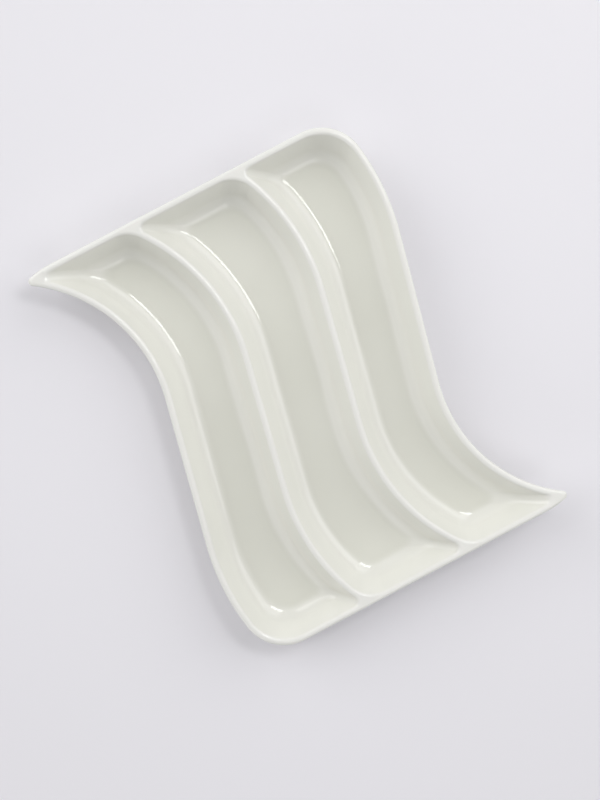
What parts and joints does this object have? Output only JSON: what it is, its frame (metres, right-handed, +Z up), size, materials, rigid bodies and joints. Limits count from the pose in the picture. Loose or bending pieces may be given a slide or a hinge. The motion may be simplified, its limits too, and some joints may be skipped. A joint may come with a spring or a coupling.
{
  "type": "relish tray",
  "caption": "Low porcelain relish tray with long waved wells side by side, straight ends, a rounded rim and foot rings underneath.",
  "frame": {"origin": "middle of the footprint, on the plane that the foot rings rest on", "axes": "+X runs along the straight ends, +Y along the wells towards the end with the pointed corner on the left, +Z up"},
  "size_m": [0.255, 0.305, 0.03],
  "materials": {
    "well_glaze": "gloss",
    "rim_glaze": "gloss",
    "foot_biscuit": "matte"
  },
  "bodies": {
    "root": {"left_well": "well_glaze", "middle_well": "well_glaze", "right_well": "well_glaze", "rim": "rim_glaze", "left_divider_ridge": "rim_glaze", "right_divider_ridge": "rim_glaze", "left_foot_ring": "foot_biscuit", "middle_foot_ring": "foot_biscuit", "right_foot_ring": "foot_biscuit"}
  },
  "joints": []
}
